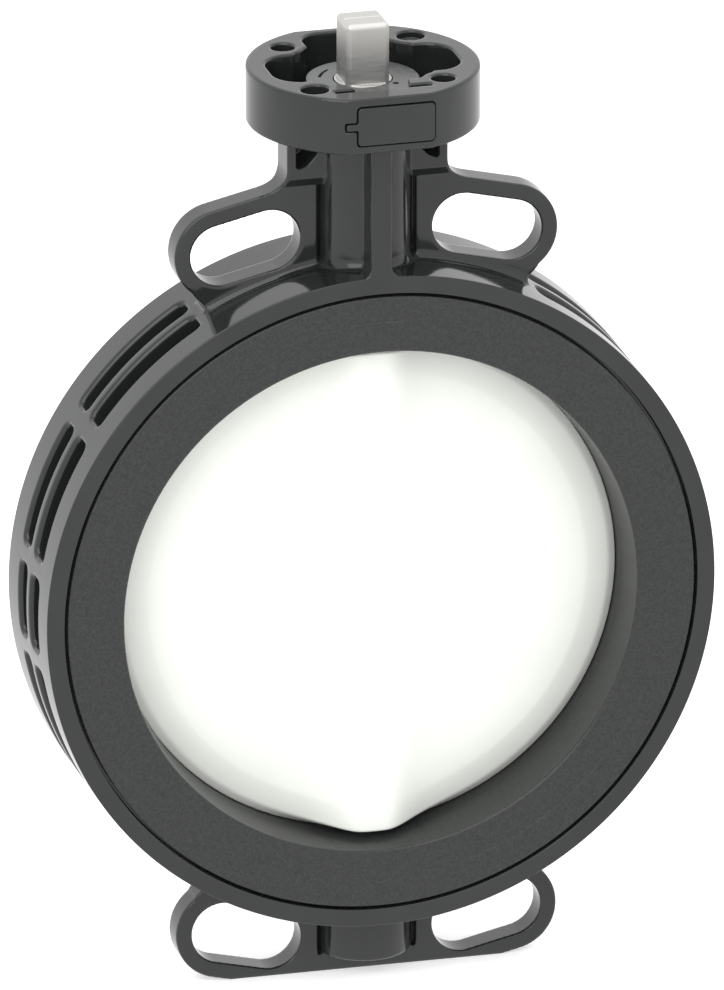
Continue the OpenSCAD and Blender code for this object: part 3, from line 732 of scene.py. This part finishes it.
# A wide shallow bevel runs round the face and dies out on the hub.
into_bevel = np.append(face_radius, edge_r[:, None], 1) - edge_r[:, None] + bevel_w
drop = bevel_slope * (into_bevel + np.hypot(into_bevel, bevel_soft)) / 2 * (1 - hub_share(edge_x))[:, None]
face = np.stack([face_radius, face_t - drop[:, :-1]], -1)
face_end = face[:, -1]
face_corner = np.stack([edge_r, edge_t - drop[:, -1]], -1)
seal_corner = np.stack([outer_r, 0 * outer_r + edge_half], -1)
slope = seal_corner - face_corner
half_section = np.concatenate([
    face[:, :-1],
    bend(face_end, face_corner, face_corner + face_bend * slope),
    bend(face_corner + seal_bend * slope, seal_corner, seal_corner * [1, seal_flat])], axis=1)
radius, height = half_section[..., 0], half_section[..., 1]
half_disc = np.stack([radius * sin[:, None], -height, radius * cos[:, None]], -1)
disc_grid = np.concatenate([half_disc, half_disc[:, ::-1] * [1, -1, 1]], axis=1)
make_piece("disc_lens", [disc_grid], disc_plastic, "disc_and_stem", ["disc"],
           sharp_above=50)


# ---- Stem ----
# One stainless shaft right through the valve. It is turned, then its drive end is milled to a 17 mm square
# with bevelled corners, and a line across the top shows which way the disc lies.

# Stainless steel, turned and milled: light grey with a satin sheen. The cutter's marks run across the shaft:
# the pattern is 6 mm long, squeezed to about 0.4 mm along the stem.
stem_steel, tree, shader, place = new_material("milled_stainless_steel", "#C8C7C4", 0.5, metallic=1.0)
lay_squeeze = 14
lay = add_node(tree, "ShaderNodeMapping", {"Vector": place, "Scale": (1, 1, lay_squeeze)})
scratch = add_node(tree, "ShaderNodeTexNoise",
                   {"Vector": lay.outputs[0], "Scale": 1 / (6 * mm), "Detail": 4.0})
vary(tree, shader, "Roughness", scratch.outputs["Fac"], 0.42, 0.55)
bumps = add_node(tree, "ShaderNodeBump", {"Height": scratch.outputs["Fac"], "Strength": 0.15,
                                          "Distance": 0.01 * mm})
tree.links.new(bumps.outputs[0], shader.inputs["Normal"])
low, high = (np.array(corner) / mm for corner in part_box("stem"))
stem_r, stem_low, stem_top = high[0], low[2], high[2]
square_half, square_z, square_bevel = 8.5, 201.4, 1.5
mark_w, mark_deep, stem_step, drive_low = 0.7, 0.5, 0.25, 190.0
mill_edge, bevel_edge, mark_edge, drive_before, drive_after = 0.3, 0.4, 0.15, 0.6, 0.8
low_corner = (-stem_r - drive_before, -stem_r - drive_before, drive_low - drive_before)
high_corner = (stem_r + drive_after, stem_r + drive_after, stem_top + drive_after)
x, y, z = space(low_corner, high_corner, stem_step)
square = meet(np.abs(x) - square_half, np.abs(y) - square_half, mill_edge)
square = meet(square, (np.abs(x) + np.abs(y) - 2 * square_half + square_bevel) / math.sqrt(2), bevel_edge)
top_side = np.maximum(np.abs(x), np.abs(y)) + z - square_half - stem_top + square_bevel
square = meet(meet(square, top_side / math.sqrt(2), bevel_edge), z - stem_top, mill_edge)
drive = join(square, meet(np.hypot(x, y) - stem_r, z - square_z, bevel_edge), mill_edge)
drive = meet(drive, -np.maximum(np.abs(y) - mark_w / 2, stem_top - mark_deep - z), mark_edge)
drive = np.maximum(drive, drive_low - z)
seal_heights, seal_groove_half, seal_groove_deep = (-139.5, 142.0, 150.0), 1.5, 1.6
chamfer, drive_overlap = 0.6, 0.2
groove = stem_r - seal_groove_deep
profile = [(0, stem_low), (stem_r - chamfer, stem_low), (stem_r, stem_low + chamfer)]
for seat in seal_heights:
    profile += [(stem_r, seat - seal_groove_half), (groove, seat - seal_groove_half),
                (groove, seat + seal_groove_half), (stem_r, seat + seal_groove_half)]
profile += [(stem_r, drive_low + drive_overlap), (0, drive_low + drive_overlap)]


def turned(profile, steps=96):
    """Grid of a (radius, height) profile turned round the stem axis."""
    radius, height = np.asarray(profile, float).T[:, None]
    turn = np.linspace(0, 2 * math.pi, steps + 1)[:, None]
    return np.stack([radius * np.cos(turn), radius * np.sin(turn), height + 0 * turn], -1)


make_piece("stem_shaft", [turned(profile)], stem_steel, "disc_and_stem", ["stem"],
           [skin(drive, low_corner, stem_step)], 30)


# ---- Parts inside the neck and foot ----
# What carries and seals the stem: turned plastic bushes and a pad, O-rings, a steel clip and washer, and the
# plate over them. The stiff ring inside the liner is here too. All keep their CAD shape.

# Acetal, turned from bar: creamy white and satin, with cloudy tool marks about 4 mm across.
bearing_plastic, tree, shader, place = new_material("turned_bearing_plastic", "#D9D4C4", 0.4)
turning = add_node(tree, "ShaderNodeTexNoise", {"Vector": place, "Scale": 1 / (4 * mm), "Detail": 3.0})
vary(tree, shader, "Roughness", turning.outputs["Fac"], 0.35, 0.5)

# Glass-filled nylon, moulded and left as it comes: dull grey brown, with cloudiness about 15 mm across.
backing_plastic, tree, shader, place = new_material("moulded_backing_plastic", "#6D6A62", 0.45)
cloud = add_node(tree, "ShaderNodeTexNoise", {"Vector": place, "Scale": 1 / (15 * mm), "Detail": 3.0})
vary(tree, shader, "Base Color", cloud.outputs["Fac"], linear("#68655D"), linear("#726F67"))

# EPDM rubber, moulded: dull black, with patches of bloom about 5 mm across.
seal_rubber, tree, shader, place = new_material("seal_rubber", "#1C1C1C", 0.5)
bloom = add_node(tree, "ShaderNodeTexNoise", {"Vector": place, "Scale": 1 / (5 * mm), "Detail": 3.0})
vary(tree, shader, "Roughness", bloom.outputs["Fac"], 0.42, 0.6)

# Spring steel, stamped and tempered: mid grey, with patches about 5 mm across where the heat dulled it.
spring_steel, tree, shader, place = new_material("tempered_spring_steel", "#8C8C8C", 0.35, metallic=1.0)
heat = add_node(tree, "ShaderNodeTexNoise", {"Vector": place, "Scale": 1 / (5 * mm), "Detail": 3.0})
vary(tree, shader, "Roughness", heat.outputs["Fac"], 0.28, 0.45)

# Steel sheet, stamped and coated dark grey. Its thin coat is mottled over about 3 mm.
plate_metal, tree, shader, place = new_material("coated_steel_plate", "#4A4C4B", 0.3)
mottle = add_node(tree, "ShaderNodeTexNoise", {"Vector": place, "Scale": 1 / (3 * mm), "Detail": 4.0})
vary(tree, shader, "Base Color", mottle.outputs["Fac"], linear("#404241"), linear("#545655"))
vary(tree, shader, "Roughness", mottle.outputs["Fac"], 0.22, 0.4)

inner_parts = {
    "liner_backing_ring": backing_plastic,
    "neck_bush": bearing_plastic, "upper_bush": bearing_plastic, "lower_bush": bearing_plastic,
    "lower_thrust_pad": bearing_plastic,
    "neck_stem_o_ring": seal_rubber, "upper_stem_o_ring": seal_rubber, "lower_stem_o_ring": seal_rubber,
    "upper_disc_o_ring": seal_rubber, "lower_disc_o_ring": seal_rubber, "wiper_ring": seal_rubber,
    "thrust_washer": spring_steel, "retaining_clip": spring_steel,
    "retainer_plate": plate_metal,
}
for node, material in inner_parts.items():
    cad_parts[node].data.materials.clear()
    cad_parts[node].data.materials.append(material)
